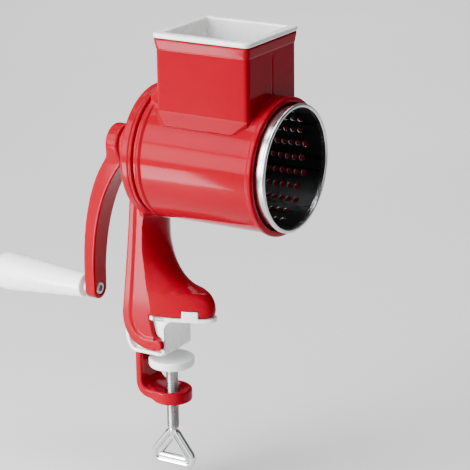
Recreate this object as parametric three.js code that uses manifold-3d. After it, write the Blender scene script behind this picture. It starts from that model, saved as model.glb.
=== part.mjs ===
// Rotary cheese grater with a table clamp, in millimetres, +Z up.
// The barrel lies along Y with its open mouth towards -Y and the crank at +Y. X = 0 is the middle plane.
// The profiles are drawn with the clamp screw at y = 0 and the table top at z = 0. The outer group
// then moves everything along Y, so that the origin lies on the flat sole of the foot.
import * as THREE from 'three';
import { mergeVertices } from 'three/addons/utils/BufferGeometryUtils.js';
import Module from 'manifold-3d';

const wasm = await Module();
wasm.setup();

// ---------- driving dimensions ----------
const SOLE_CENTRE_Y = 18;        // clamp screw to the origin, along Y
const GAP = 0.3;                 // air between neighbouring solids
const TURN = 2 * Math.PI;

const AXIS_Z = 108;              // barrel axis above the table top
const BARREL_R = 41.2;
const BARREL_BORE_R = 39;
const BARREL_FRONT_Y = -85.3;
const BARREL_REAR_Y = -1.3;
const FLANGE_R = 42.6;
const FLANGE_WIDTH = 3.7;

const HOPPER_HALF_X = 28.8;
const HOPPER_FRONT_Y = -76;
const HOPPER_REAR_Y = -11.5;
const HOPPER_LIP_Z = 178.3;      // underside of the lip band
const HOPPER_TOP_Z = 185;
const HOPPER_WALL = 2.4;
const HOPPER_CORNER_R = 6;
const LIP_OUT = 1.2;             // how far the lip band stands out from the walls
const LINER_WALL = 1.5;
const LINER_BOTTOM_Z = 128;
const LINER_TOP_Z = 188.5;

const DRUM_R = 37.8;
const DRUM_WALL = 0.8;
const DRUM_FRONT_Y = -92.4;
const DRUM_REAR_Y = -5;
const DRUM_RIM_R = 39.3;
const HOLE_COLUMNS = 13;
const HOLE_ROWS = 7;
const HOLE_PITCH = 10.2;
const HOLE_R = 2.3;
const FIRST_ROW_Y = -81;

const SPINDLE_R = 6.3;
const SPINDLE_BOSS_R = 9;
const SPINDLE_SHOULDER_Y = 30.6;
const SPINDLE_END_Y = 42;
const THREAD_R = 3.9;            // both M8 threads, as plain rods
const PLATE_Y = -13.5;           // dished centre of the drum's end plate

const STAND_R = 41.7;
const BEARING_TUBE_R = 13.2;
const BEARING_BORE_R = 10;
const BEARING_END_Y = 27.5;
const LEG_HALF_X = 17;
const FOOT_TIP_Y = -32.4;
const FOOT_TIP_R = 8;
const SOLE_THICKNESS = 2.7;
const LINER_HALF_X = 15.6;
const LINER_SKIN = 0.8;          // how far the liner wraps round the toe
const LINER_BOTTOM_LIP_Z = -24;
const WALL_SKIN_Y = -5;          // face that meets the edge of the table
const INNER_CORNER_R = 2.5;

const BRACKET_HALF_X = 12;
const BRACKET_INNER_Y = 15.6;
const BRACKET_OUTER_Y = 20.3;
const BRACKET_TOP_Z = -3;
const EYE_R = 12.5;
const EYE_TOP_Z = -50;
const EYE_BOTTOM_Z = -58;
const INSERT_R = 5.6;

const PAD_R = 14.6;
const PAD_TOP_Z = -29;
const PAD_BOTTOM_Z = -35.4;
const SCREW_BOTTOM_Z = -77.6;
const KEY_TOP_Z = -78;
const KEY_CORNER_R = 7;
const KEY_HALF_BASE = 9.5;
const KEY_RISE = 12.5;
const KEY_DEPTH = 4.4;

const HUB_R = 13.4;
const HUB_FRONT_Y = 29.2;
const HUB_REAR_Y = 44.8;
const CRANK_RADIUS = 100;
const ARM_END_R = 7;
const ARM_TOP_HALF_X = 9.5;
const ARM_THICKNESS = 8;
const ARM_FOOT_Y = 57.3;         // middle of the arm's thickness at the grip
const GRIP_Z = AXIS_Z - CRANK_RADIUS;
const GRIP_FRONT_Y = 65;
const GRIP_REAR_Y = 133.6;
const GRIP_FRONT_R = 7.9;
const GRIP_REAR_R = 12.6;
const BOLT_R = 2.4;
const BOLT_HEAD_R = 4.1;
const BOLT_HEAD_Y = 53.6;
const BOLT_NECK_Y = 56.7;
const BOLT_END_Y = 126;
const PLUG_R = 5.7;

// ---------- materials ----------
const finish = (color, roughness, metalness = 0) =>
  new THREE.MeshStandardMaterial({ color, roughness, metalness });
const redPlastic = finish(0xd4061c, 0.16);
const whitePlastic = finish(0xf4f4f1, 0.25);
const softWhite = finish(0xe6e9ea, 0.55);
const stainless = finish(0xc9cbcc, 0.22, 1);
const zincSteel = finish(0x9ea3a6, 0.35, 1);
const brass = finish(0xc8a552, 0.35, 1);

// ---------- helpers ----------
const grater = new THREE.Group();
grater.position.y = SOLE_CENTRE_Y;

function add(name, geometry, material) {
  const mesh = new THREE.Mesh(geometry, material);
  mesh.name = name;
  grater.add(mesh);
}

function signedVolume(geometry) {
  const at = geometry.attributes.position;
  const [a, b, c] = [new THREE.Vector3(), new THREE.Vector3(), new THREE.Vector3()];
  let sum = 0;
  for (let i = 0; i < geometry.index.count; i += 3) {
    a.fromBufferAttribute(at, geometry.index.getX(i));
    b.fromBufferAttribute(at, geometry.index.getX(i + 1));
    c.fromBufferAttribute(at, geometry.index.getX(i + 2));
    sum += a.dot(b.cross(c)) / 6;
  }
  return sum;
}

// A closed mesh with shared vertices and its faces pointing out.
function closed(geometry) {
  geometry.deleteAttribute('normal');
  geometry.deleteAttribute('uv');
  const merged = mergeVertices(geometry, 1e-4);
  if (signedVolume(merged) < 0) {
    merged.index.array.reverse();
  }
  return merged;
}

function solid(geometry) {
  const mesh = closed(geometry);
  return new wasm.Manifold(new wasm.Mesh({
    numProp: 3,
    vertProperties: new Float32Array(mesh.attributes.position.array),
    triVerts: new Uint32Array(mesh.index.array),
  }));
}

function shaped(manifold) {
  const mesh = manifold.getMesh();
  const geometry = new THREE.BufferGeometry();
  geometry.setAttribute('position', new THREE.BufferAttribute(mesh.vertProperties, 3));
  geometry.setIndex(new THREE.BufferAttribute(mesh.triVerts, 1));
  return geometry;
}

// A ring turned about the Y axis at height z, from [radius, y] corners.
function turned(corners, z = AXIS_Z, sides = 48) {
  const profile = [...corners, corners[0]].map(([r, y]) => new THREE.Vector2(r, y));
  return closed(new THREE.LatheGeometry(profile, sides)).translate(0, 0, z);
}

// The same about the screw's vertical axis, from [radius, z] corners.
function upright(corners, sides = 32) {
  return turned(corners, 0, sides).rotateX(TURN / 4);
}

// A bar with the outline drawn in the (y, z) plane, as wide as 2 * halfX.
function sideways(outline, halfX, curveSegments = 8) {
  const settings = { depth: 2 * halfX, bevelEnabled: false, curveSegments };
  const swap = new THREE.Matrix4().makeBasis(
    new THREE.Vector3(0, 1, 0), new THREE.Vector3(0, 0, 1), new THREE.Vector3(1, 0, 0));
  return new THREE.ExtrudeGeometry(outline, settings).applyMatrix4(swap).translate(-halfX, 0, 0);
}

// A prism with the outline drawn in the (x, y) plane, from z0 to z1.
function standing(outline, z0, z1, curveSegments = 8) {
  const settings = { depth: z1 - z0, bevelEnabled: false, curveSegments };
  return new THREE.ExtrudeGeometry(outline, settings).translate(0, 0, z0);
}

// A prism with the outline drawn in the (x, z) plane, from y0 to y1.
function lying(outline, y0, y1, curveSegments = 8) {
  const settings = { depth: y1 - y0, bevelEnabled: false, curveSegments };
  return new THREE.ExtrudeGeometry(outline, settings).rotateX(TURN / 4).translate(0, y1, 0);
}

function box(x0, x1, y0, y1, z0, z1) {
  return new THREE.BoxGeometry(x1 - x0, y1 - y0, z1 - z0)
    .translate((x0 + x1) / 2, (y0 + y1) / 2, (z0 + z1) / 2);
}

function roundedRectangle(halfX, y0, y1, r) {
  const shape = new THREE.Shape();
  shape.moveTo(-halfX + r, y0);
  shape.lineTo(halfX - r, y0).absarc(halfX - r, y0 + r, r, -TURN / 4, 0, false);
  shape.lineTo(halfX, y1 - r).absarc(halfX - r, y1 - r, r, 0, TURN / 4, false);
  shape.lineTo(-halfX + r, y1).absarc(-halfX + r, y1 - r, r, TURN / 4, TURN / 2, false);
  shape.lineTo(-halfX, y0 + r).absarc(-halfX + r, y0 + r, r, TURN / 2, 0.75 * TURN, false);
  return shape;
}

// ---------- barrel with its hopper ----------
function hopperPrism(inset, z0, z1) {
  const outline = roundedRectangle(HOPPER_HALF_X - inset, HOPPER_FRONT_Y + inset,
    HOPPER_REAR_Y - inset, HOPPER_CORNER_R - Math.max(inset, 0));
  return standing(outline, z0, z1, 4);
}

// A curved web that runs from the hopper's rear wall down to the rear end of the barrel.
function rearFairing() {
  const shape = new THREE.Shape();
  shape.moveTo(HOPPER_REAR_Y - HOPPER_WALL, 130);
  shape.lineTo(BARREL_REAR_Y - 2, 130);
  shape.lineTo(BARREL_REAR_Y - 2, AXIS_Z + BARREL_R);
  shape.quadraticCurveTo(HOPPER_REAR_Y + 2, 153, HOPPER_REAR_Y - 0.5, 164);
  shape.lineTo(HOPPER_REAR_Y - HOPPER_WALL, 164);
  return sideways(shape, 22, 5);
}

function barrelHousing() {
  const skin = solid(turned([
    [20, BARREL_FRONT_Y], [FLANGE_R - 0.8, BARREL_FRONT_Y], [FLANGE_R, BARREL_FRONT_Y + 0.8],
    [FLANGE_R, BARREL_FRONT_Y + FLANGE_WIDTH], [BARREL_R, BARREL_FRONT_Y + FLANGE_WIDTH + 0.8],
    [BARREL_R, -8], [BARREL_R + 0.6, -7.2], [BARREL_R + 0.6, BARREL_REAR_Y - 2.5],
    [BARREL_R - 0.6, BARREL_REAR_Y - 2], [BARREL_R - 0.6, BARREL_REAR_Y], [20, BARREL_REAR_Y],
  ]));
  const bore = solid(turned([[0, -100], [BARREL_BORE_R, -100], [BARREL_BORE_R, 5], [0, 5]]));
  return shaped(skin
    .add(solid(hopperPrism(0, 120, HOPPER_LIP_Z)))
    .add(solid(hopperPrism(-LIP_OUT, HOPPER_LIP_Z, HOPPER_TOP_Z)))
    .add(solid(rearFairing()))
    .subtract(bore)
    .subtract(solid(hopperPrism(HOPPER_WALL, 100, HOPPER_TOP_Z + 5))));
}

function hopperLiner() {
  const outside = HOPPER_WALL + GAP;
  const clearance = solid(turned([
    [0, -100], [BARREL_BORE_R + GAP, -100], [BARREL_BORE_R + GAP, 5], [0, 5],
  ]));
  return shaped(solid(hopperPrism(outside, LINER_BOTTOM_Z, LINER_TOP_Z))
    .add(solid(hopperPrism(0, HOPPER_TOP_Z + GAP, LINER_TOP_Z)))
    .subtract(solid(hopperPrism(outside + LINER_WALL, LINER_BOTTOM_Z - 5, LINER_TOP_Z + 5)))
    .subtract(clearance));
}

// ---------- grating drum ----------
function holeCutters() {
  const cutters = [];
  for (let column = 0; column < HOLE_COLUMNS; column += 1) {
    const stagger = column % 2 ? HOLE_PITCH / 2 : 0;
    for (let row = 0; row < HOLE_ROWS; row += 1) {
      const cutter = new THREE.CylinderGeometry(HOLE_R, HOLE_R, 8, 6)
        .translate(0, DRUM_R, 0)
        .rotateX(TURN / 4)
        .translate(0, FIRST_ROW_Y + stagger + row * HOLE_PITCH, 0)
        .rotateY((column / HOLE_COLUMNS) * TURN)
        .translate(0, 0, AXIS_Z);
      cutters.push(solid(cutter));
    }
  }
  return cutters;
}

function drumShell() {
  const inner = DRUM_R - DRUM_WALL;
  const sheet = solid(turned([
    [inner, DRUM_FRONT_Y + 0.6], [inner + 0.5, DRUM_FRONT_Y], [DRUM_RIM_R - 0.6, DRUM_FRONT_Y],
    [DRUM_RIM_R, DRUM_FRONT_Y + 0.7], [DRUM_RIM_R, DRUM_FRONT_Y + 2.4],
    [DRUM_R, DRUM_FRONT_Y + 3.2], [DRUM_R, DRUM_REAR_Y], [inner, DRUM_REAR_Y],
  ], AXIS_Z, 52));
  return shaped(holeCutters().reduce((shell, cutter) => shell.subtract(cutter), sheet));
}

function drumEndPlate() {
  const rim = DRUM_R - DRUM_WALL - GAP;
  return turned([
    [4.3, PLATE_Y], [22, PLATE_Y], [32, -8.6], [rim, -8.6], [rim, -5.4],
    [rim - 1, -5.4], [rim - 1, -7.6], [31.6, -7.6], [21.6, PLATE_Y + 1], [4.3, PLATE_Y + 1],
  ]);
}

function drumSpindle() {
  return turned([
    [0, -18.5], [4, -18.5], [4, PLATE_Y + 1 + GAP], [SPINDLE_BOSS_R, PLATE_Y + 1 + GAP],
    [SPINDLE_BOSS_R, -5], [SPINDLE_R, -5], [SPINDLE_R, SPINDLE_SHOULDER_Y],
    [THREAD_R, SPINDLE_SHOULDER_Y], [THREAD_R, SPINDLE_END_Y - 1], [THREAD_R - 1, SPINDLE_END_Y],
    [0, SPINDLE_END_Y],
  ], AXIS_Z, 24);
}

function hexNut(acrossCorners, y0, y1, holeR, z) {
  const hex = solid(new THREE.CylinderGeometry(acrossCorners / 2, acrossCorners / 2, y1 - y0, 6)
    .translate(0, (y0 + y1) / 2, z));
  const hole = solid(turned([[0, y0 - 1], [holeR, y0 - 1], [holeR, y1 + 1], [0, y1 + 1]], z, 16));
  return shaped(hex.subtract(hole));
}

// ---------- stand, foot and clamp ----------
// Side outline of the leg, foot and heel. grow moves the lower edges out, to cut a neighbour clear of it.
function bootOutline(grow = 0) {
  const noseR = 3.6 + grow;
  const shape = new THREE.Shape();
  shape.moveTo(10, 97);
  shape.lineTo(16.4, 95);
  shape.quadraticCurveTo(16.8 + grow, 70, 24.8 + grow, 2);
  shape.quadraticCurveTo(24.8 + grow, -17 - grow, 8, -19.6 - grow);
  shape.lineTo(0, -20.1 - grow);
  shape.absarc(0, -16.5, noseR, -TURN / 4, -TURN * 0.75, true);
  shape.lineTo(2.8 - grow, -10);
  shape.lineTo(5.8 - grow, SOLE_THICKNESS - grow);
  shape.lineTo(FOOT_TIP_Y + 2.6, SOLE_THICKNESS - grow);
  shape.quadraticCurveTo(FOOT_TIP_Y, SOLE_THICKNESS, FOOT_TIP_Y, 8.5);
  shape.quadraticCurveTo(FOOT_TIP_Y + 0.5, 17, -24.4, 18.5);
  shape.quadraticCurveTo(0, 20.5, 4.2, 46);
  shape.quadraticCurveTo(6.5, 62, 6.5, 78);
  shape.lineTo(6.5, 97);
  return shape;
}

// Plan outline of the leg and foot: full width at the heel, narrowing to a round toe.
function footPlan(grow = 0) {
  const tip = FOOT_TIP_R + grow;
  const centreY = FOOT_TIP_Y + FOOT_TIP_R;
  const shape = new THREE.Shape();
  shape.moveTo(LEG_HALF_X, 30);
  shape.lineTo(-LEG_HALF_X, 30);
  shape.lineTo(-LEG_HALF_X, 4);
  shape.lineTo(-tip, centreY);
  shape.absarc(0, centreY, tip, TURN / 2, TURN, false);
  shape.lineTo(LEG_HALF_X, 4);
  return shape;
}

function tangSocket() {
  const z = BRACKET_TOP_Z + 0.4;
  return solid(box(-BRACKET_HALF_X - GAP, BRACKET_HALF_X + GAP,
    BRACKET_INNER_Y - GAP, BRACKET_OUTER_Y + GAP, -30, z));
}

function standFrame() {
  const disc = solid(turned([
    [BEARING_BORE_R, BEARING_END_Y], [BEARING_TUBE_R, BEARING_END_Y], [BEARING_TUBE_R, 12],
    [16, 9.5], [38.6, 8], [STAND_R - 0.7, 6.8], [STAND_R, 5.2], [STAND_R, -1], [38.6, -1],
    [38.6, -4], [36, -4], [36, 4], [14, 5.5], [14, -2], [BEARING_BORE_R, -2],
  ]));
  const boot = solid(sideways(bootOutline(), LEG_HALF_X, 7))
    .intersect(solid(standing(footPlan(), -40, 120)));
  const bore = solid(turned([[0, -20], [BEARING_BORE_R, -20], [BEARING_BORE_R, 40], [0, 40]]));
  return shaped(disc.add(boot.subtract(bore)).subtract(tangSocket()));
}

function bearingBush() {
  const inner = SPINDLE_R + GAP;
  const outer = BEARING_BORE_R - GAP;
  return turned([
    [inner, -4.4], [12.5, -4.4], [12.5, -2.4], [outer, -2.4], [outer, BEARING_END_Y - GAP],
    [inner, BEARING_END_Y - GAP],
  ], AXIS_Z, 32);
}

function footLiner() {
  const shape = new THREE.Shape();
  shape.moveTo(FOOT_TIP_Y - LINER_SKIN, 0);
  shape.lineTo(WALL_SKIN_Y - INNER_CORNER_R, 0);
  shape.quadraticCurveTo(WALL_SKIN_Y, 0, WALL_SKIN_Y, -INNER_CORNER_R);
  shape.lineTo(WALL_SKIN_Y, LINER_BOTTOM_LIP_Z + 2.5);
  shape.quadraticCurveTo(WALL_SKIN_Y, LINER_BOTTOM_LIP_Z, WALL_SKIN_Y + 2.5, LINER_BOTTOM_LIP_Z);
  shape.lineTo(19, LINER_BOTTOM_LIP_Z);
  shape.quadraticCurveTo(23.5, -21, 23.5, -10);
  shape.lineTo(8, 6);
  shape.lineTo(FOOT_TIP_Y - LINER_SKIN, 6);
  const block = solid(sideways(shape, LINER_HALF_X, 5)).intersect(solid(standing(footPlan(LINER_SKIN), -40, 20)));
  const underside = solid(sideways(bootOutline(GAP), 30, 7));
  return shaped(block.subtract(underside).subtract(tangSocket())
    .subtract(solid(box(-20, 20, -40, FOOT_TIP_Y + 0.5, SOLE_THICKNESS - GAP, 10))));
}

function clampBracket() {
  const side = new THREE.Shape();
  side.moveTo(BRACKET_OUTER_Y, BRACKET_TOP_Z);
  side.lineTo(BRACKET_INNER_Y, BRACKET_TOP_Z);
  side.lineTo(BRACKET_INNER_Y, -46);
  side.quadraticCurveTo(BRACKET_INNER_Y, -50, 10, EYE_TOP_Z);
  side.lineTo(-EYE_R - 1, EYE_TOP_Z);
  side.lineTo(-EYE_R - 1, -56);
  side.lineTo(10, -56);
  side.quadraticCurveTo(BRACKET_OUTER_Y, -56, BRACKET_OUTER_Y, -45);
  const plan = new THREE.Shape();
  plan.moveTo(BRACKET_HALF_X, 25).lineTo(-BRACKET_HALF_X, 25).lineTo(-BRACKET_HALF_X, 0);
  plan.absarc(0, 0, EYE_R, TURN / 2, TURN, false);
  const boss = solid(upright([
    [0, EYE_BOTTOM_Z], [EYE_R - 1, EYE_BOTTOM_Z], [EYE_R, EYE_BOTTOM_Z + 1],
    [EYE_R, EYE_TOP_Z - 1], [0, EYE_TOP_Z - 1],
  ]));
  const bore = solid(upright([[0, -70], [INSERT_R, -70], [INSERT_R, -45], [0, -45]], 24));
  return shaped(solid(sideways(side, 20, 5))
    .intersect(solid(standing(plan, -80, 0)))
    .add(boss)
    .subtract(bore));
}

function clampInsert() {
  const outer = INSERT_R - GAP;
  const inner = THREAD_R + GAP;
  return upright([
    [inner, EYE_BOTTOM_Z], [outer, EYE_BOTTOM_Z], [outer, EYE_TOP_Z - 0.4], [inner, EYE_TOP_Z - 0.4],
  ], 24);
}

function clampPad() {
  return upright([
    [0, PAD_TOP_Z], [PAD_R - 1, PAD_TOP_Z], [PAD_R, PAD_TOP_Z - 1], [PAD_R, PAD_BOTTOM_Z + 1],
    [PAD_R - 1, PAD_BOTTOM_Z], [3.3, PAD_BOTTOM_Z], [3.3, -34.7], [4.1, -34.7], [4.1, -31.6],
    [0, -31.6],
  ], 40);
}

function clampScrew() {
  return upright([
    [0, SCREW_BOTTOM_Z], [THREAD_R - 0.8, SCREW_BOTTOM_Z], [THREAD_R, SCREW_BOTTOM_Z + 0.8],
    [THREAD_R, -37], [2.9, -36.4], [2.9, -34.3], [3.75, -34], [3.75, -32.4], [3, -31.9], [0, -31.9],
  ], 24);
}

// A flat triangular ring, made from the outline of three equal circles.
function clampKey() {
  const ring = (cornerR, Path) => {
    const topZ = KEY_TOP_Z - KEY_CORNER_R;
    const lean = Math.atan2(KEY_RISE, KEY_HALF_BASE);
    const outline = new Path();
    outline.absarc(0, topZ, cornerR, TURN / 4 - lean, TURN / 4 + lean, false);
    outline.absarc(-KEY_HALF_BASE, topZ - KEY_RISE, cornerR, TURN / 4 + lean, 0.75 * TURN, false);
    outline.absarc(KEY_HALF_BASE, topZ - KEY_RISE, cornerR, -TURN / 4, TURN / 4 - lean, false);
    outline.closePath();
    return outline;
  };
  const outline = ring(KEY_CORNER_R, THREE.Shape);
  const finger = new THREE.Path();
  finger.moveTo(0, KEY_TOP_Z - 6.6);
  finger.lineTo(6.8, KEY_TOP_Z - 16.6);
  finger.lineTo(-6.8, KEY_TOP_Z - 16.6);
  finger.closePath();
  outline.holes.push(finger);
  return sideways(outline, KEY_DEPTH / 2, 5);
}

// ---------- crank ----------
function armSide() {
  const inner = ARM_FOOT_Y - ARM_THICKNESS / 2;
  const outer = ARM_FOOT_Y + ARM_THICKNESS / 2;
  const shape = new THREE.Shape();
  shape.moveTo(HUB_FRONT_Y, AXIS_Z - 3);
  shape.lineTo(HUB_FRONT_Y, AXIS_Z - 12.5);
  shape.quadraticCurveTo(51, 70, inner, 22);
  shape.lineTo(inner, -5);
  shape.lineTo(outer, -5);
  shape.lineTo(outer, 22);
  shape.quadraticCurveTo(60, 76, 37.5, AXIS_Z - 5);
  return shape;
}

function armFront() {
  const shape = new THREE.Shape();
  shape.moveTo(ARM_TOP_HALF_X, AXIS_Z);
  shape.lineTo(-ARM_TOP_HALF_X, AXIS_Z);
  shape.lineTo(-ARM_END_R, GRIP_Z);
  shape.absarc(0, GRIP_Z, ARM_END_R, TURN / 2, TURN, false);
  return shape;
}

function crankArm() {
  const hub = solid(turned([
    [0, HUB_FRONT_Y], [HUB_R - 0.6, HUB_FRONT_Y], [HUB_R, HUB_FRONT_Y + 0.6], [HUB_R, 41.5],
    [HUB_R - 1.1, 43.9], [HUB_R - 3.4, HUB_REAR_Y], [0, HUB_REAR_Y],
  ], AXIS_Z, 40));
  const arm = solid(sideways(armSide(), 20, 8)).intersect(solid(lying(armFront(), 20, 80, 8)));
  const spindleBore = solid(turned([
    [0, 20], [SPINDLE_R + GAP, 20], [SPINDLE_R + GAP, 30.9], [6, 30.9], [6, 42.6], [0, 42.6],
  ], AXIS_Z, 24));
  const boltBore = solid(turned([
    [0, 40], [BOLT_HEAD_R + GAP, 40], [BOLT_HEAD_R + GAP, 57], [BOLT_R + GAP, 57],
    [BOLT_R + GAP, 80], [0, 80],
  ], GRIP_Z, 20));
  return shaped(hub.add(arm).subtract(spindleBore).subtract(boltBore));
}

function crankInsert() {
  const inner = THREAD_R + GAP;
  return turned([[inner, 31.2], [5.7, 31.2], [5.7, 42.3], [inner, 42.3]], AXIS_Z, 24);
}

function gripBolt() {
  const body = solid(turned([
    [0, BOLT_HEAD_Y], [BOLT_HEAD_R, BOLT_HEAD_Y], [BOLT_HEAD_R, BOLT_NECK_Y],
    [BOLT_R, BOLT_NECK_Y], [BOLT_R, BOLT_END_Y], [0, BOLT_END_Y],
  ], GRIP_Z, 20));
  const socket = solid(new THREE.CylinderGeometry(2.3, 2.3, 4, 6)
    .translate(0, BOLT_HEAD_Y, GRIP_Z));
  return shaped(body.subtract(socket));
}

function handleGrip() {
  return turned([
    [3, GRIP_FRONT_Y], [GRIP_FRONT_R - 1, GRIP_FRONT_Y], [GRIP_FRONT_R, GRIP_FRONT_Y + 1],
    [9.6, 88], [11.4, 110], [GRIP_REAR_R, 125], [12.2, 129.4], [10.6, 132.3], [7.4, GRIP_REAR_Y],
    [6, GRIP_REAR_Y], [6, 121], [3, 121],
  ], GRIP_Z, 36);
}

function gripPlug() {
  return turned([
    [0, 128.5], [PLUG_R, 128.5], [PLUG_R, GRIP_REAR_Y - 0.2], [3, GRIP_REAR_Y + 0.3],
    [0, GRIP_REAR_Y + 0.4],
  ], GRIP_Z, 24);
}

// ---------- assembly ----------
add('barrel_housing', barrelHousing(), redPlastic);
add('hopper_liner', hopperLiner(), whitePlastic);
add('stand_frame', standFrame(), redPlastic);
add('foot_liner', footLiner(), softWhite);
add('bearing_bush', bearingBush(), whitePlastic);

add('drum_shell', drumShell(), stainless);
add('drum_end_plate', drumEndPlate(), stainless);
add('drum_spindle', drumSpindle(), stainless);
add('spindle_nut', hexNut(14.4, -18, PLATE_Y - GAP, 4.3, AXIS_Z), zincSteel);

add('crank_arm', crankArm(), redPlastic);
add('crank_insert', crankInsert(), brass);
add('thrust_washer', turned([[6.7, 27.8], [12, 27.8], [12, 28.9], [6.7, 28.9]], AXIS_Z, 32), softWhite);
add('grip_bolt', gripBolt(), zincSteel);
add('grip_washer', turned([[2.7, 61.6], [4.2, 61.6], [4.2, 64.7], [2.7, 64.7]], GRIP_Z, 24), softWhite);
add('handle_grip', handleGrip(), whitePlastic);
add('grip_nut', hexNut(9.2, 121.4, 125.4, BOLT_R + GAP, GRIP_Z), zincSteel);
add('grip_end_plug', gripPlug(), whitePlastic);

add('clamp_bracket', clampBracket(), redPlastic);
add('clamp_insert', clampInsert(), brass);
add('clamp_pad', clampPad(), softWhite);
add('clamp_screw', clampScrew(), zincSteel);
add('clamp_key', clampKey(), zincSteel);

export default grater;
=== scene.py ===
"""Rotary cheese grater with a table clamp: red housing, steel drum, crank, foot and clamp.

Shapes are drawn in millimetres, with the clamp screw's axis at y = 0 and the table top at z = 0.
Every mesh is then moved to the place that the frame gives for the clamp screw, in metres.
"""

import itertools
import math

import bmesh
import bpy
import numpy as np
from mathutils import Matrix, Vector


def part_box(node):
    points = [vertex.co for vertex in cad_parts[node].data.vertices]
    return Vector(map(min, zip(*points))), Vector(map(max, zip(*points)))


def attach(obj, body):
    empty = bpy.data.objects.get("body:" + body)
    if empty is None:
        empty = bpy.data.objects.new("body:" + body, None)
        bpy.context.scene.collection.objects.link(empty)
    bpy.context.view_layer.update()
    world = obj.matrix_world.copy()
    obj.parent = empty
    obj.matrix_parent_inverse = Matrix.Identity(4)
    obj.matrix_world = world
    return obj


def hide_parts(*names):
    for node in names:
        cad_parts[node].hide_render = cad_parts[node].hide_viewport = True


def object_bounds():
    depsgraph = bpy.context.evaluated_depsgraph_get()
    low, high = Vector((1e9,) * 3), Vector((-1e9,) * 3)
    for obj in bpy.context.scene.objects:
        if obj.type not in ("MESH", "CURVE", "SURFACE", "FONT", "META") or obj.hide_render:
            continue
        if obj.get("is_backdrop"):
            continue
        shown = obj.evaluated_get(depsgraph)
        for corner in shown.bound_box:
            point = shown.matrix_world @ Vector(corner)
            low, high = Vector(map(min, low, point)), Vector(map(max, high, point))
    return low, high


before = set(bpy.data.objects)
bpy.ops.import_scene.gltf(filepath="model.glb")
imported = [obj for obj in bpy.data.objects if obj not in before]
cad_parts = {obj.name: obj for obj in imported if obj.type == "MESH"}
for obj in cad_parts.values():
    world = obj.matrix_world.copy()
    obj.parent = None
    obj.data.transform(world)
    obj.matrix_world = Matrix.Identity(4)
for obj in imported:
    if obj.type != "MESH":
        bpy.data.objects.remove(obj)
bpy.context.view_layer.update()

# ---------- places and driving sizes ----------
MM = 0.001


def middle(node):
    """Middle of a CAD node's box, in millimetres."""
    low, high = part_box(node)
    return (low + high) / 2 / MM


SHIFT_Y = middle("clamp_screw").y
AXIS_Z = middle("drum_shell").z
GRIP_Z = middle("handle_grip").z

GAP = 0.3

BARREL_R = 41.2
BARREL_BORE_R = 39.0
BARREL_FRONT_Y = -85.3
BARREL_REAR_Y = -1.3
FLANGE_R = 42.6
FLANGE_WIDTH = 3.7
REAR_BEAD_Y = -5.4
REAR_BEAD_R = 1.9
SPIGOT_FRONT_Y = -8.0
SPIGOT_STEP = 0.9
SPIGOT_LENGTH = 1.9

HOPPER_HALF_X = 28.8
HOPPER_FRONT_Y = -76.0
HOPPER_REAR_Y = -11.5
HOPPER_MID_Y = (HOPPER_FRONT_Y + HOPPER_REAR_Y) / 2
HOPPER_HALF_Y = (HOPPER_REAR_Y - HOPPER_FRONT_Y) / 2
HOPPER_BOTTOM_Z = AXIS_Z + 22
HOPPER_LIP_Z = 178.3
HOPPER_TOP_Z = 185.0
HOPPER_CORNER_R = 3.2
HOPPER_WALL = 2.4
LIP_HEIGHT = HOPPER_TOP_Z - HOPPER_LIP_Z
LIP_OUT = 0.9
LIP_STEP = 0.25
SEAM_DEPTH = 0.35
SEAM_HALF_X = 1.2
PLINTH_BOTTOM_Z = 133.2
PLINTH_TOP_Z = 140.8
PLINTH_LEAN = math.radians(34)
REAR_SLOPE_HALF_X = 24.0
LINER_WALL = 1.5
LINER_TOP_Z = 188.5

DRUM_R = 37.8
DRUM_WALL = 0.8
DRUM_FRONT_Y = -92.4
DRUM_REAR_Y = -5.0
DRUM_RIM_R = 39.3
PLATE_Y = -13.5
HOLE_COLUMNS = 26
HOLE_ROWS = 13
HOLE_PITCH = 5.0
FIRST_CELL_Y = -80.0
CELL_SIDE = 4
FRONT_STRIP_ROWS = 8
BURR_TEETH = 4
BURR_WAVE = 0.08
BURR_LEAST_HEIGHT = 0.3

STAND_R = 41.7
STAND_FRONT_Y = -1.0
STAND_REAR_Y = 7.6
STAND_LIP_R = 38.6
STAND_LIP_BORE_R = 36.0
STAND_BOSS_R = 14.0
BEARING_TUBE_R = 13.2
BEARING_BORE_R = 10.0
BEARING_END_Y = 27.5
LEG_HALF_X = 17.0
LEG_FACE_X = 16.6
LEG_STEPS = 12
HEEL_STEPS = 10
FOOT_TIP_Y = -32.4
SOLE_THICKNESS = 2.7
NOSE_R = 3.6
NOSE_Z = -16.5
PROW_POWER = 2.2
PROW_LEAST = 0.03
WALL_SKIN_Y = -5.0
LINER_HALF_X = 15.9
LINER_BOTTOM_Z = -24.0
WEB_HALF_X = 12.9
WEB_MARGIN = 2.6
WEB_TOP_Z = -0.6
TAB_Y = -20.3
TAB_HALF_LENGTH = 4.9
TAB_BOTTOM_Z = 0.8
TAB_TOP_Z = 7.4
TAB_FLANK_Z = 5.5
TAB_PROUD = 0.3
TAB_DEPTH = 2.4

BRACKET_HALF_X = 12.0
BRACKET_INNER_Y = 15.6
BRACKET_OUTER_Y = 20.3
BRACKET_TOP_Z = -3.0
SOCKET_BOTTOM_Z = -30.0
CHANNEL_HALF_X = 8.8
CHANNEL_DEPTH = 0.9
CHANNEL_BOTTOM_Z = -45.5
EYE_R = 12.5
EYE_TOP_Z = -50.0
EYE_BOTTOM_Z = -58.0
INSERT_R = 5.6
INSERT_TOP_Z = -53.8
INSERT_SEAT_Z = -53.4
DISH_R = 10.6
DISH_DEPTH = 2.4
SCREW_R = 3.9
THREAD_BOTTOM_Z = -77.6
THREAD_TOP_Z = -37.2
THREAD_PITCH = 1.25
THREAD_DEPTH = 0.42
ROWS_PER_TURN = 10

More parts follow.
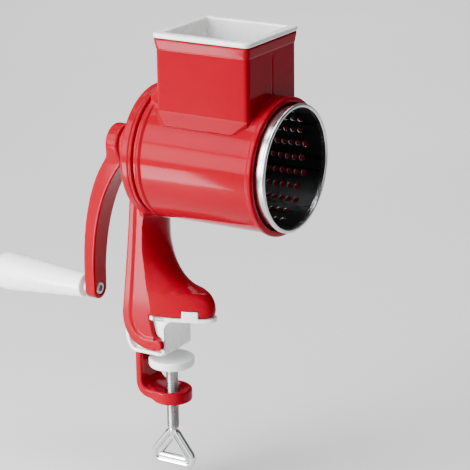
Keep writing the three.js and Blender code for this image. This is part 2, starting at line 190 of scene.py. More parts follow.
WIRE_R = 2.15
KEY_TOP_Z = -85.0
KEY_HALF_Y = 9.5
KEY_DROP = 12.5
KEY_CORNER_R = 7.0
KEY_INNER_CORNER_R = 1.15
WELD_R = 3.0
WELD_Z = -80.2
WELD_FLATNESS = 0.62

HUB_R = 12.3
HUB_FRONT_Y = 29.2
HUB_REAR_Y = 38.8
HUB_BORE_R = 6.0
HUB_BORE_END_Y = 37.2
HUB_MOUTH_R = 6.6
HUB_MOUTH_END_Y = 30.9
ARM_END_R = 7.0
ARM_TOP_HALF_X = 9.5
ARM_THICKNESS = 8.0
ARM_FOOT_Y = 57.3
BOLT_R = 2.4
BOLT_HEAD_R = 4.1
BOLT_HEAD_Y = 53.6
BOLT_NECK_Y = 56.7
BOLT_SEAT_Y = 57.0
BOLT_END_Y = 126.0
BOLT_SOCKET_HALF = 2.0
BOLT_SOCKET_DEPTH = 2.2
GRIP_FRONT_Y = 65.0
GRIP_REAR_Y = 133.6

# Grid step of each surface that is meshed from a field.
GRID_STEP = {
    "barrel_housing": 0.75, "hopper_liner": 0.6, "stand_frame": 0.75, "foot_liner": 0.5,
    "clamp_bracket": 0.55, "crank_arm": 0.65, "spindle_nut": 0.3, "grip_nut": 0.3,
    "grip_bolt": 0.3, "key_weld": 0.35,
}
# The most that a plain field changes over a millimetre.
USUAL_STEEPNESS = 1.6
# How many times the points of a surface are moved towards it.
SETTLING_ROUNDS = 4


# ---------- signed fields ----------
# Cosine and sine of 30 degrees.
HEX_SLANT_X = 0.866
HEX_SLANT_Z = 0.5


def length(*parts):
    return np.sqrt(sum(part * part for part in parts))


def join(a, b, blend):
    """Union of two fields with a fillet about as wide as blend."""
    weight = np.clip(0.5 + 0.5 * (b - a) / blend, 0, 1)
    return b * (1 - weight) + a * weight - blend * weight * (1 - weight)


def cut(a, b, blend):
    """What is in both fields, with the edge rounded."""
    return -join(-a, -b, blend)


def without(a, b, blend):
    """The first field less the second, with the edge rounded."""
    return cut(a, -b, blend)


def ease(value):
    """A smooth step from 0 to 1 as the value goes from 0 to 1."""
    step = np.clip(value, 0, 1)
    return step * step * (3 - 2 * step)


def slab(value, low, high):
    """Distance to the span between two planes, negative inside it."""
    return np.abs(value - (low + high) / 2) - (high - low) / 2


def hexagon(x, z, half):
    """Distance to a hexagon round the origin, with flats a distance of half above and below."""
    u, w = np.abs(x), np.abs(z)
    return np.maximum(u * HEX_SLANT_X + w * HEX_SLANT_Z, w) - half


def curve(start, control, end, steps=10):
    """Points of a quadratic curve, without its first point."""
    points = []
    for i in range(1, steps + 1):
        t = i / steps
        points.append(tuple(
            (1 - t) ** 2 * a + 2 * t * (1 - t) * b + t * t * c
            for a, b, c in zip(start, control, end)))
    return points


def arc(centre, radius, first, last, steps=12):
    """Points of an arc from one angle to another, in degrees."""
    angles = np.radians(np.linspace(first, last, steps + 1))
    return [(centre[0] + radius * math.cos(a), centre[1] + radius * math.sin(a)) for a in angles]


def outline_field(u, v, points):
    """Distance to a closed outline in a plane, negative inside it."""
    nearest = np.full(u.shape, 1e12)
    inside = np.zeros(u.shape, bool)
    for (au, av), (bu, bv) in zip(points, points[1:] + points[:1]):
        eu, ev = bu - au, bv - av
        if eu == 0 and ev == 0:
            continue
        wu, wv = u - au, v - av
        t = np.clip((wu * eu + wv * ev) / (eu * eu + ev * ev), 0, 1)
        nearest = np.minimum(nearest, (wu - t * eu) ** 2 + (wv - t * ev) ** 2)
        if ev:
            inside ^= ((av > v) != (bv > v)) & (wu < eu * wv / ev)
    distance = np.sqrt(nearest)
    return np.where(inside, -distance, distance)


def path_field(u, v, points, radii):
    """Distance to a path in a plane whose radius changes from point to point."""
    nearest = np.full(u.shape, 1e12)
    ends = list(zip(points, radii))
    for ((au, av), ra), ((bu, bv), rb) in zip(ends, ends[1:]):
        eu, ev = bu - au, bv - av
        wu, wv = u - au, v - av
        t = np.clip((wu * eu + wv * ev) / (eu * eu + ev * ev), 0, 1)
        reach = np.sqrt((wu - t * eu) ** 2 + (wv - t * ev) ** 2)
        nearest = np.minimum(nearest, reach - ra - t * (rb - ra))
    return nearest


# ---------- from fields to meshes ----------
def sampled(field, axes, steepness, block=8):
    """Field values on a grid. A block that is far from the surface gets one value.

    The steepness is the most that the field may change over a millimetre.
    """
    counts = [len(axis) for axis in axes]
    padded = [-(-count // block) for count in counts]
    step = axes[0][1] - axes[0][0]
    wide = [axis[0] + step * np.arange(blocks * block) for axis, blocks in zip(axes, padded)]
    centres = [w.reshape(-1, block).mean(1) for w in wide]
    rough = field(*np.meshgrid(*centres, indexing="ij"))
    near = np.abs(rough) < steepness * step * block * math.sqrt(3) / 2
    values = np.repeat(np.repeat(np.repeat(rough, block, 0), block, 1), block, 2)
    cells = np.argwhere(near)
    offsets = np.indices((block,) * 3).reshape(3, -1)
    where = [cells[:, a, None] * block + offsets[a] for a in range(3)]
    values[tuple(where)] = field(*[wide[a][where[a]] for a in range(3)])
    return values[:counts[0], :counts[1], :counts[2]]


def crossings(values, counts):
    """Cells that the surface passes through, and the mean of its crossings in each."""
    inside = values < 0
    corners = list(itertools.product((0, 1), repeat=3))
    held = sum(
        inside[o[0]:counts[0] - 1 + o[0], o[1]:counts[1] - 1 + o[1], o[2]:counts[2] - 1 + o[2]]
        .astype(np.int8) for o in corners)
    cells = np.argwhere((held > 0) & (held < 8))
    total = np.zeros((len(cells), 3))
    hits = np.zeros(len(cells))
    for axis in range(3):
        for offset in corners:
            if offset[axis]:
                continue
            start = cells + offset
            end = start.copy()
            end[:, axis] += 1
            a, b = values[tuple(start.T)], values[tuple(end.T)]
            crossed = (a < 0) != (b < 0)
            point = start.astype(float)
            point[:, axis] += np.where(crossed, a / np.where(crossed, a - b, 1), 0)
            total += crossed[:, None] * point
            hits += crossed
    return cells, total / hits[:, None], inside


def grid_quads(cells, inside, counts):
    """A quad of four neighbouring cells round each grid edge that the surface crosses."""
    number = np.full([count - 1 for count in counts], -1)
    number[tuple(cells.T)] = np.arange(len(cells))
    quads = []
    for axis in range(3):
        u, v = (axis + 1) % 3, (axis + 2) % 3
        first = [slice(None)] * 3
        second = [slice(None)] * 3
        first[axis], second[axis] = slice(None, -1), slice(1, None)
        edges = np.argwhere(inside[tuple(first)] != inside[tuple(second)])
        edges = edges[(edges[:, u] > 0) & (edges[:, v] > 0)]
        edges = edges[(edges[:, u] < counts[u] - 1) & (edges[:, v] < counts[v] - 1)]
        back_u, back_v = np.eye(3, dtype=int)[u], np.eye(3, dtype=int)[v]
        ring = [edges - back_u - back_v, edges - back_v, edges, edges - back_u]
        quad = np.stack([number[tuple(corner.T)] for corner in ring], 1)
        starts_inside = inside[tuple(edges.T)]
        quads.append(np.where(starts_inside[:, None], quad, quad[:, ::-1]))
    return np.concatenate(quads)


def slope(field, points, reach=0.03):
    """Gradient of a field at each point, from values a little to either side."""
    columns = []
    for axis in range(3):
        step = np.eye(3)[axis] * reach
        ahead, behind = (points + step).T, (points - step).T
        columns.append((field(*ahead) - field(*behind)) / (2 * reach))
    return np.stack(columns, 1)


def field_surface(field, low, high, step, steepness):
    """Vertices, quads and normals of a field's surface inside a box."""
    axes = [np.arange(a - 2 * step, b + 3 * step, step) for a, b in zip(low, high)]
    counts = [len(axis) for axis in axes]
    values = sampled(field, axes, steepness)
    cells, places, inside = crossings(values, counts)
    quads = grid_quads(cells, inside, counts)
    points = places * step + np.array([axis[0] for axis in axes])
    for _ in range(SETTLING_ROUNDS):
        direction = slope(field, points)
        squared = np.maximum((direction ** 2).sum(1), 0.05)
        move = direction * (field(*points.T) / squared)[:, None]
        reach = np.linalg.norm(move, axis=1, keepdims=True)
        points = points - move * np.minimum(1, 0.5 * step / np.maximum(reach, 1e-9))
    normals = slope(field, points)
    normals /= np.maximum(np.linalg.norm(normals, axis=1, keepdims=True), 1e-9)
    return points, quads, normals


# ---------- pieces ----------
def piece(name, points, faces, body, materials, normals=None, tints=None, node=None):
    """A smooth mesh object that rides on a body and stands for a CAD node.

    The tints say which of the materials each face has.
    """
    mesh = bpy.data.meshes.new(name)
    placed = np.asarray(points, float) * MM + (0, SHIFT_Y * MM, 0)
    mesh.from_pydata(placed.tolist(), [], [list(map(int, face)) for face in faces])
    for made in materials:
        mesh.materials.append(made)
    if tints is not None:
        mesh.polygons.foreach_set("material_index", np.asarray(tints, np.int32))
    mesh.polygons.foreach_set("use_smooth", np.ones(len(mesh.polygons), bool))
    mesh.validate()
    if normals is not None:
        mesh.normals_split_custom_set_from_vertices(normals.tolist())
    obj = bpy.data.objects.new(name + "_form", mesh)
    bpy.context.scene.collection.objects.link(obj)
    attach(obj, body)
    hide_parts(node or name)
    return obj


def carved(name, field, low, high, body, made, node=None, steepness=USUAL_STEEPNESS):
    """A piece whose surface is where a field is zero."""
    points, quads, normals = field_surface(field, low, high, GRID_STEP[name], steepness)
    return piece(name, points, quads, body, [made], normals, node=node)


def rounded(corners, steps=5):
    """Closed profile from (radius, along, corner radius) corners, with an arc at each corner."""
    made = []
    for i, (u, v, fillet) in enumerate(corners):
        here = np.array((u, v), float)
        if not fillet:
            made.append(here)
            continue
        back = np.array(corners[i - 1][:2]) - here
        ahead = np.array(corners[(i + 1) % len(corners)][:2]) - here
        a, b = back / np.linalg.norm(back), ahead / np.linalg.norm(ahead)
        half = math.acos(np.clip(a @ b, -1, 1)) / 2
        centre = here + (a + b) / np.linalg.norm(a + b) * fillet / math.sin(half)
        start = here + a * fillet / math.tan(half) - centre
        end = here + b * fillet / math.tan(half) - centre
        sweep = math.pi - 2 * half
        for t in np.linspace(0, 1, steps + 1):
            turn = math.sin((1 - t) * sweep) * start + math.sin(t * sweep) * end
            made.append(centre + turn / math.sin(sweep))
    return made


def ring_faces(rows, columns, close_rows):
    """Quads between neighbouring rows of points, each row closed on itself."""
    faces = []
    last = rows if close_rows else rows - 1
    for i in range(last):
        j = (i + 1) % rows
        for k in range(columns):
            m = (k + 1) % columns
            faces.append((i * columns + k, i * columns + m, j * columns + m, j * columns + k))
    return faces


def welded(obj):
    """Merges doubled vertices, drops empty faces and turns the rest outwards."""
    shape = bmesh.new()
    shape.from_mesh(obj.data)
    bmesh.ops.remove_doubles(shape, verts=shape.verts, dist=1e-6)
    bmesh.ops.dissolve_degenerate(shape, edges=shape.edges, dist=1e-7)
    bmesh.ops.recalc_face_normals(shape, faces=shape.faces)
    shape.to_mesh(obj.data)
    shape.free()
    shading = obj.modifiers.new("even shading", "WEIGHTED_NORMAL")
    shading.keep_sharp = False
    shading.weight = 80
    return obj


def gathered(patches):
    """Patches of points, faces and tints, one after another, as a single mesh's lists."""
    points, faces, tints = [], [], []
    count = 0
    for patch_points, patch_faces, patch_tints in patches:
        points.append(patch_points)
        faces.extend(tuple(count + index for index in face) for face in patch_faces)
        tints.extend(patch_tints)
        count += len(patch_points)
    return np.concatenate(points), faces, tints


def lathe(name, corners, axis, at, body, made, sides=96, node=None):
    """A turned piece about an axis along y, at height at, or about the upright screw axis."""
    profile = rounded(corners)
    angles = 2 * np.pi * np.arange(sides) / sides
    points = []
    for radius, along in profile:
        a, b = radius * np.cos(angles), radius * np.sin(angles)
        flat = np.full(sides, along)
        points.append(np.stack([a, flat, at + b] if axis == "y" else [a, b, flat], 1))
    faces = ring_faces(len(profile), sides, True)
    obj = piece(name, np.concatenate(points), faces, body, [made], node=node)
    return welded(obj)


def tube_points(centres, radius, sides):
    """Rings of points round a closed path that lies in one plane of constant x."""
    centres = np.asarray(centres, float)
    ahead = np.roll(centres, -1, 0) - np.roll(centres, 1, 0)
    ahead /= np.linalg.norm(ahead, axis=1, keepdims=True)
    across = np.tile((1.0, 0.0, 0.0), (len(centres), 1))
    up = np.cross(ahead, across)
    angles = 2 * np.pi * np.arange(sides) / sides
    rings = [c + radius * (np.cos(angles)[:, None] * s + np.sin(angles)[:, None] * u)
             for c, s, u in zip(centres, across, up)]
    return np.concatenate(rings)


# ---------- materials ----------
# Most of a noise texture's values lie between these.
NOISE_LOW = 0.3
NOISE_HIGH = 0.7


class Shader:
    """A node material with one principled shader and helpers for its detail."""

    def __init__(self, name, metallic, coat=0.0, specular=0.5):
        self.made = bpy.data.materials.new(name)
        self.made.use_nodes = True
        self.nodes = self.made.node_tree.nodes
        self.links = self.made.node_tree.links
        self.shader = self.nodes["Principled BSDF"]
        self.shader.inputs["Metallic"].default_value = metallic
        self.shader.inputs["Coat Weight"].default_value = coat
        self.shader.inputs["Specular IOR Level"].default_value = specular
        self.place = self.nodes.new("ShaderNodeTexCoord").outputs["Object"]

    def noise(self, scale, detail=3.0, stretch=(1, 1, 1)):
        mapping = self.nodes.new("ShaderNodeMapping")
        mapping.inputs["Scale"].default_value = stretch
        self.links.new(self.place, mapping.inputs["Vector"])
        texture = self.nodes.new("ShaderNodeTexNoise")
        texture.inputs["Scale"].default_value = scale
        texture.inputs["Detail"].default_value = detail
        self.links.new(mapping.outputs["Vector"], texture.inputs["Vector"])
        return texture.outputs["Fac"]

    def colour(self, value, dark, light):
        ramp = self.nodes.new("ShaderNodeValToRGB")
        ramp.color_ramp.elements[0].position = NOISE_LOW
        ramp.color_ramp.elements[1].position = NOISE_HIGH
        ramp.color_ramp.elements[0].color = (*dark, 1)
        ramp.color_ramp.elements[1].color = (*light, 1)
        self.links.new(value, ramp.inputs["Fac"])
        self.links.new(ramp.outputs["Color"], self.shader.inputs["Base Color"])

    def roughness(self, value, low, high):
        scaled = self.nodes.new("ShaderNodeMapRange")
        scaled.inputs["From Min"].default_value = NOISE_LOW
        scaled.inputs["From Max"].default_value = NOISE_HIGH
        scaled.inputs["To Min"].default_value = low
        scaled.inputs["To Max"].default_value = high
        self.links.new(value, scaled.inputs["Value"])
        self.links.new(scaled.outputs["Result"], self.shader.inputs["Roughness"])

    def bump(self, value, strength, distance):
        bump = self.nodes.new("ShaderNodeBump")
        bump.inputs["Strength"].default_value = strength
        bump.inputs["Distance"].default_value = distance
        self.links.new(value, bump.inputs["Height"])
        self.links.new(bump.outputs["Normal"], self.shader.inputs["Normal"])


def plastic(name, dark, light, roughness, coat, peel, specular=0.5, tint=(1, 1, 1)):
    """Moulded plastic: a slight mottle, uneven gloss and a faint orange peel."""
    made = Shader(name, 0.0, coat=coat, specular=specular)
    made.shader.inputs["Specular Tint"].default_value = (*tint, 1)
    made.colour(made.noise(28, 4), dark, light)
    made.roughness(made.noise(160, 5), roughness * 0.85, roughness * 1.2)
    made.bump(made.noise(420, 3), peel, 0.00008)
    return made.made


def metal(name, dark, light, roughness, stretch, marks):
    """Metal with fine marks drawn out along one direction."""
    made = Shader(name, 1.0)
    made.colour(made.noise(40, 3), dark, light)
    made.roughness(made.noise(300, 5, stretch), roughness * 0.7, roughness * 1.35)
    made.bump(made.noise(900, 4, stretch), marks, 0.00003)
    return made.made


RED = plastic("red plastic", dark=(0.25, 0.0002, 0.008), light=(0.27, 0.0003, 0.010),
              roughness=0.10, coat=0.0, peel=0.04, specular=0.10, tint=(1.0, 0.42, 0.48))
WHITE = plastic("white plastic", dark=(0.80, 0.80, 0.79), light=(0.86, 0.86, 0.86),
                roughness=0.26, coat=0.3, peel=0.06)
SOFT_WHITE = plastic("soft white plastic", dark=(0.74, 0.76, 0.77), light=(0.82, 0.83, 0.84),
                     roughness=0.42, coat=0.0, peel=0.12)
STEEL = metal("stainless sheet", dark=(0.72, 0.73, 0.74), light=(0.80, 0.81, 0.82),
              roughness=0.20, stretch=(0.05, 1, 0.05), marks=0.08)
# Steel painted nearly black: painted shade on the drum's inner faces and its end plate, which sit in
# shade inside the barrel.
SHADE_PAINTED_STEEL = metal("steel with painted shade", dark=(0.07, 0.071, 0.074), light=(0.10, 0.101, 0.104),
                     roughness=0.34, stretch=(1, 0.05, 1), marks=0.05)
STEEL_EDGE = metal("cut steel edge", dark=(0.55, 0.55, 0.56), light=(0.85, 0.85, 0.86),
                   roughness=0.22, stretch=(1, 1, 1), marks=0.10)
ZINC = metal("zinc plated steel", dark=(0.34, 0.35, 0.36), light=(0.46, 0.47, 0.48),
             roughness=0.30, stretch=(1, 1, 0.06), marks=0.10)
CHROME = metal("bright steel wire", dark=(0.66, 0.67, 0.68), light=(0.80, 0.81, 0.82),
               roughness=0.12, stretch=(0.3, 1, 1), marks=0.05)
BRASS = metal("brass", dark=(0.62, 0.42, 0.16), light=(0.74, 0.53, 0.22),
              roughness=0.28, stretch=(1, 0.2, 1), marks=0.08)


# ---------- barrel and hopper ----------
def around_axis(x, z):
    return length(x, z - AXIS_Z)


def hopper_plan(x, y, inset, corner):
    """Distance to the hopper's rounded rectangle in plan, inset from its outer walls."""
    from_x = np.abs(x) - (HOPPER_HALF_X - inset - corner)
    from_y = np.abs(y - HOPPER_MID_Y) - (HOPPER_HALF_Y - inset - corner)
    outside = length(np.maximum(from_x, 0), np.maximum(from_y, 0))
    return outside + np.minimum(np.maximum(from_x, from_y), 0) - corner


def hopper_walls(x, y, z):
    """Outer walls, with a lip that flares at the top and a faint groove down the front's middle."""
    above = z - HOPPER_LIP_Z
    flare = LIP_STEP * ease(above / 0.5) + LIP_OUT * np.clip(above / LIP_HEIGHT, 0, 1)
    on_front = ease(-y / 40 - 1)
    below_lip = ease((HOPPER_LIP_Z - 1 - z) / 2)
    groove = SEAM_DEPTH * on_front * ease(1 - np.abs(x) / SEAM_HALF_X) * below_lip
    walls = hopper_plan(x, y, -flare, HOPPER_CORNER_R) + groove
    walls = cut(walls, z - HOPPER_TOP_Z, 0.7)
    return cut(walls, HOPPER_BOTTOM_Z - z, 0.5)


def hopper_foot(x, y, z):
    """A low chamfered plinth where the side walls run into the barrel."""
    beyond = np.maximum(np.abs(x) - HOPPER_HALF_X, 0)
    rise = z - PLINTH_TOP_Z + 0.1
    side = (np.abs(x) - HOPPER_HALF_X) * math.cos(PLINTH_LEAN) + rise * math.sin(PLINTH_LEAN)
    ends = (np.abs(y - HOPPER_MID_Y) - HOPPER_HALF_Y + 0.4 + beyond * 1.7) / 1.9
    foot = cut(side, ends, 0.5)
    foot = cut(foot, z - PLINTH_TOP_Z, 0.3)
    return cut(foot, PLINTH_BOTTOM_Z - z, 0.6)


# Side outline of the wedge behind the hopper, as (y, z) points.
REAR_SLOPE = (
    [(HOPPER_REAR_Y - HOPPER_WALL, 130), (BARREL_REAR_Y - 2.5, 130),
     (BARREL_REAR_Y - 2.5, AXIS_Z + BARREL_R - 0.5)]
    + curve((BARREL_REAR_Y - 2.5, AXIS_Z + BARREL_R - 0.5), (HOPPER_REAR_Y + 2.5, 153),
            (HOPPER_REAR_Y - 0.3, 164))
    + [(HOPPER_REAR_Y - HOPPER_WALL, 166)])


def barrel_field(x, y, z):
    """Barrel with its front flange, rear bead and spigot, and the hopper that opens into it."""
    radius = around_axis(x, z)
    tube = cut(radius - BARREL_R, slab(y, BARREL_FRONT_Y, BARREL_REAR_Y - SPIGOT_LENGTH), 1.0)
    flange_end = BARREL_FRONT_Y + FLANGE_WIDTH
    flange = cut(radius - FLANGE_R, slab(y, BARREL_FRONT_Y, flange_end), 1.3)
    bead = length(radius - BARREL_R + SPIGOT_STEP, y - REAR_BEAD_Y) - REAR_BEAD_R
    spigot = cut(radius - BARREL_R + SPIGOT_STEP, slab(y, SPIGOT_FRONT_Y, BARREL_REAR_Y), 0.4)
    skin = join(join(join(tube, flange, 0.9), bead, 0.7), spigot, 0.5)
    body = join(skin, hopper_walls(x, y, z), 1.1)
    body = join(body, hopper_foot(x, y, z), 0.3)
    rear = cut(outline_field(y, z, REAR_SLOPE), np.abs(x) - REAR_SLOPE_HALF_X, 3.0)
    body = join(body, rear, 2.5)
    body = without(body, radius - BARREL_BORE_R, 0.9)
    throat = hopper_plan(x, y, HOPPER_WALL, HOPPER_CORNER_R - 1.6)
    return without(body, cut(throat, AXIS_Z - z, 0.5), 0.6)


def liner_field(x, y, z):
    """White lining of the hopper: a thin square tube under a rim that covers the red lip."""
    outside = HOPPER_WALL + GAP
    skin = hopper_plan(x, y, outside, HOPPER_CORNER_R - 1.8)
    skin = cut(skin, z - LINER_TOP_Z + 1, 0.4)
    rim = hopper_plan(x, y, -LIP_OUT - LIP_STEP - 0.5, HOPPER_CORNER_R + 1)
    rim = cut(rim, slab(z, HOPPER_TOP_Z + GAP, LINER_TOP_Z), 1.5)
    body = join(skin, rim, 0.6)
    opening = hopper_plan(x, y, outside + LINER_WALL, HOPPER_CORNER_R - 2.6)
    body = without(body, opening, 1.4)
    return without(body, around_axis(x, z) - BARREL_BORE_R - GAP, 0.5)


def make_barrel():
    half = FLANGE_R + 1
    carved("barrel_housing", barrel_field, (-half, BARREL_FRONT_Y - 1, AXIS_Z - half),
           (half, BARREL_REAR_Y + 1, HOPPER_TOP_Z + 1), "stand", RED)
    reach = HOPPER_HALF_X + 3
    carved("hopper_liner", liner_field, (-reach, HOPPER_FRONT_Y - 3, AXIS_Z + 18),
           (reach, HOPPER_REAR_Y + 3, LINER_TOP_Z + 1), "stand", WHITE)


# ---------- grating drum ----------
# Which of the drum sheet's materials a face has: the inner faces take steel painted dark, as painted
# shade.
OUTSIDE, EDGE, SHADED_INSIDE = range(3)

# Rings round a hole, from the outer face over the burr and down the hole to the inner face: each
# one's distance from the hole's middle, its height above the outer face, and the tint before it.
HOLE_PROFILE = (
    (2.45, 0.02, OUTSIDE), (2.15, 0.16, OUTSIDE), (1.95, 0.42, OUTSIDE), (1.78, 0.68, OUTSIDE),
    (1.66, 0.80, EDGE), (1.56, 0.74, EDGE), (1.53, 0.30, EDGE), (1.58, -0.18, EDGE),
    (1.76, -0.55, EDGE), (2.02, -0.74, SHADED_INSIDE), (2.35, -DRUM_WALL, SHADED_INSIDE),
)
PITCH_S = 2 * math.pi * DRUM_R / HOLE_COLUMNS
SHEET_FRONT_Y = FIRST_CELL_Y - FRONT_STRIP_ROWS * HOLE_PITCH / CELL_SIDE


def cell_edge(half_s, half_y):
    """Points round a cell's rectangle, with as many steps on each side."""
    steps = np.arange(CELL_SIDE) / CELL_SIDE * 2 - 1
    whole = np.ones(CELL_SIDE)
    s = half_s * np.concatenate([steps, whole, -steps, -whole])
    y = half_y * np.concatenate([-whole, steps, whole, -steps])
    return s, y


def on_drum(s, y, height):
    """A point of the drum from the way round it, the place along it and the height above it."""
    angle = s / DRUM_R
    radius = DRUM_R + height
    return np.stack([radius * np.sin(angle), y, AXIS_Z + radius * np.cos(angle)], -1)


def hole_cell(s0, y0, half_s, half_y):
    """Rings of points from the cell's outer edge, through the hole, to its inner edge."""
    edge_s, edge_y = cell_edge(half_s, half_y)
    angle = np.arctan2(edge_y / half_y, edge_s / half_s)
    rings = [on_drum(s0 + edge_s, y0 + edge_y, np.zeros_like(edge_s))]
    for radius, height, _ in HOLE_PROFILE:
        wave = BURR_WAVE * np.cos(BURR_TEETH * angle) * (height > BURR_LEAST_HEIGHT)
        rings.append(on_drum(s0 + radius * np.cos(angle), y0 + radius * np.sin(angle), height + wave))
    rings.append(on_drum(s0 + edge_s, y0 + edge_y, np.full_like(edge_s, -DRUM_WALL)))
    return rings


def plain_patch(s0, s1, y0, y1, rows, height):
    """A grid of quads over a plain stretch of the sheet."""
    s, y = np.meshgrid(np.linspace(s0, s1, CELL_SIDE + 1), np.linspace(y0, y1, rows + 1))
    points = on_drum(s.ravel(), y.ravel(), np.full(s.size, height))
    wide = CELL_SIDE + 1
    faces = [(j * wide + i, j * wide + i + 1, (j + 1) * wide + i + 1, (j + 1) * wide + i)
             for j in range(rows) for i in range(CELL_SIDE)]
    return points, faces


def cut_end(s0, s1, y):
    """A strip of quads over the sheet's thickness, at one of its ends."""
    s = np.linspace(s0, s1, CELL_SIDE + 1)
    outer = on_drum(s, np.full(s.size, y), np.zeros(s.size))
    inner = on_drum(s, np.full(s.size, y), np.full(s.size, -DRUM_WALL))
    wide = s.size
    strip = [(i, i + 1, wide + i + 1, wide + i) for i in range(CELL_SIDE)]
    return np.concatenate([outer, inner]), strip, [OUTSIDE] * CELL_SIDE


def column_patches(column):
    """One column of hole cells, and the plain sheet in front of it and behind it."""
    s0 = column * PITCH_S
    s_low, s_high = s0 - PITCH_S / 2, s0 + PITCH_S / 2
    start = FIRST_CELL_Y + (HOLE_PITCH / 2 if column % 2 else 0)
    end = start + HOLE_ROWS * HOLE_PITCH
    around = 4 * CELL_SIDE
    cell_tints = [OUTSIDE] + [tint for _, _, tint in HOLE_PROFILE[1:]] + [SHADED_INSIDE]
    for row in range(HOLE_ROWS):
        rings = hole_cell(s0, start + (row + 0.5) * HOLE_PITCH, PITCH_S / 2, HOLE_PITCH / 2)
        cell_faces = ring_faces(len(rings), around, False)
        yield np.concatenate(rings), cell_faces, np.repeat(cell_tints, around).tolist()
    for y0, y1 in ((SHEET_FRONT_Y, start), (end, DRUM_REAR_Y)):
        rows = max(1, round((y1 - y0) * CELL_SIDE / HOLE_PITCH))
        for height, tint in ((0.0, OUTSIDE), (-DRUM_WALL, SHADED_INSIDE)):
            points, faces = plain_patch(s_low, s_high, y0, y1, rows, height)
            yield points, faces, [tint] * len(faces)
    for y in (SHEET_FRONT_Y, DRUM_REAR_Y):
        yield cut_end(s_low, s_high, y)


def make_drum_shell():
    patches = [patch for column in range(HOLE_COLUMNS) for patch in column_patches(column)]
    points, faces, tints = gathered(patches)
    # The inner faces take the steel painted dark, as painted shade.
    shell = piece("drum_shell", points, faces, "drum",
                  [STEEL, STEEL_EDGE, SHADE_PAINTED_STEEL], tints=tints)
    welded(shell)
    make_drum_rim()


def make_drum_rim():
    """Rolled hem round the drum's mouth, which wraps the sheet's front edge."""
    inner = DRUM_R - DRUM_WALL - 0.15
    lathe("drum_rim", [
        (inner, SHEET_FRONT_Y + 0.6, 0.2), (inner, DRUM_FRONT_Y, 0.9),
        (DRUM_RIM_R, DRUM_FRONT_Y, 1.0), (DRUM_RIM_R, SHEET_FRONT_Y + 0.1, 0.9),
        (DRUM_R + 0.12, SHEET_FRONT_Y + 0.1, 0.3), (DRUM_R + 0.12, SHEET_FRONT_Y + 0.9, 0.05),
    ], "y", AXIS_Z, "drum", STEEL_EDGE, 192, node="drum_shell")


def make_drum_parts():
    rim = DRUM_R - DRUM_WALL - GAP
    # The end plate takes the steel painted dark, as painted shade.
    lathe("drum_end_plate", [
        (4.3, PLATE_Y, 0), (14, PLATE_Y, 1), (15, PLATE_Y - 0.7, 1), (17, PLATE_Y - 0.7, 1),
        (18, PLATE_Y, 1), (22, PLATE_Y, 3), (32, -8.6, 2), (rim, -8.6, 0.8), (rim, -5.4, 0.2),
        (rim - 1, -5.4, 0.2), (rim - 1, -7.6, 0), (31.6, -7.6, 1), (21.6, PLATE_Y + 1, 1),
        (4.3, PLATE_Y + 1, 0),
    ], "y", AXIS_Z, "drum", SHADE_PAINTED_STEEL, 144)
    lathe("drum_spindle", [
        (0, -18.5, 0), (4, -18.5, 0.8), (4, PLATE_Y + 1.3, 0), (9, PLATE_Y + 1.3, 0.5), (9, -5, 0.8),
        (6.3, -5, 0.4), (6.3, 30.6, 0.4), (SCREW_R, 30.6, 0), (SCREW_R, 36.8, 0.8), (0, 36.8, 0),
    ], "y", AXIS_Z, "drum", STEEL, 72)


def hex_nut_field(across, low, high, bore, z0):
    """Field of a nut about an axis along y, from its width across the corners."""
    def field(x, y, z):
        prism = hexagon(x, z - z0, across / 2 * math.cos(math.pi / 6))
        radius = length(x, z - z0)
        ends = slab(y, low, high)
        chamfer = (radius - across / 2 + ends + 0.9) / 1.4
        body = cut(cut(prism, ends, 0.25), chamfer, 0.2)
        return without(body, radius - bore, 0.3)
    return field


def make_nuts():
    for name, across, low, high, bore, z, body in (
            ("spindle_nut", 14.4, -18.0, -13.8, 4.3, AXIS_Z, "drum"),
            ("grip_nut", 9.2, 121.4, 125.4, BOLT_R + GAP, GRIP_Z, "crank")):
        reach = across / 2 + 1
        carved(name, hex_nut_field(across, low, high, bore, z), (-reach, low - 0.5, z - reach),
               (reach, high + 0.5, z + reach), body, ZINC)


# ---------- stand and foot ----------
# Side outline of the leg's back and the heel down to the nose, as (y, z) points.
REAR_EDGE = [(16.4, 95), *curve((16.4, 95), (16.8, 70), (24.8, 2), LEG_STEPS),
             *curve((24.8, 2), (24.8, -17), (8, -19.6), HEEL_STEPS), (0, NOSE_Z - NOSE_R)]
# Side outline of leg, foot and heel, with the nose, the table's notch and the toe after the back.
BOOT = (
    [(10, 97)] + REAR_EDGE + arc((0, NOSE_Z), NOSE_R, -90, -270, 8)[1:]
    + [(3.2, -10), (5.8, SOLE_THICKNESS), (FOOT_TIP_Y + 3.4, SOLE_THICKNESS)]
    + curve((FOOT_TIP_Y + 3.4, SOLE_THICKNESS), (FOOT_TIP_Y - 0.6, SOLE_THICKNESS),
            (FOOT_TIP_Y - 0.6, 7.5), 6)
    + curve((FOOT_TIP_Y - 0.6, 7.5), (FOOT_TIP_Y - 0.4, 16), (-25.4, 18.4), 8)
    + curve((-25.4, 18.4), (-4, 21.5), (2.6, 47), 12)
    + curve((2.6, 47), (5.6, 60), (6, 78), 6) + [(6, 97)])
# Middle of the raised edge that follows the back, and its radius at each point.
BEAD_PATH = (
    [(14.9, 95)] + curve((14.9, 95), (15.2, 70), (22.6, 2), LEG_STEPS)
    + curve((22.6, 2), (21.8, -14.6), (8, -16.6), HEEL_STEPS) + [(0, NOSE_Z)])
BEAD_RADII = (
    [1.5 + 1.0 * (i / LEG_STEPS) for i in range(LEG_STEPS + 1)]
    + [2.5 + 0.7 * (i / HEEL_STEPS) for i in range(1, HEEL_STEPS + 1)] + [NOSE_R])
# Heights, and where the side crease that the prow starts from lies at each.
CREASE_Z = (-12.0, 0.0, 16.0, 32.0, 46.0, 61.0, 75.0, 120.0)
CREASE_Y = (2.2, 5.8, 7.6, 8.6, 10.0, 9.2, 6.4, 6.4)


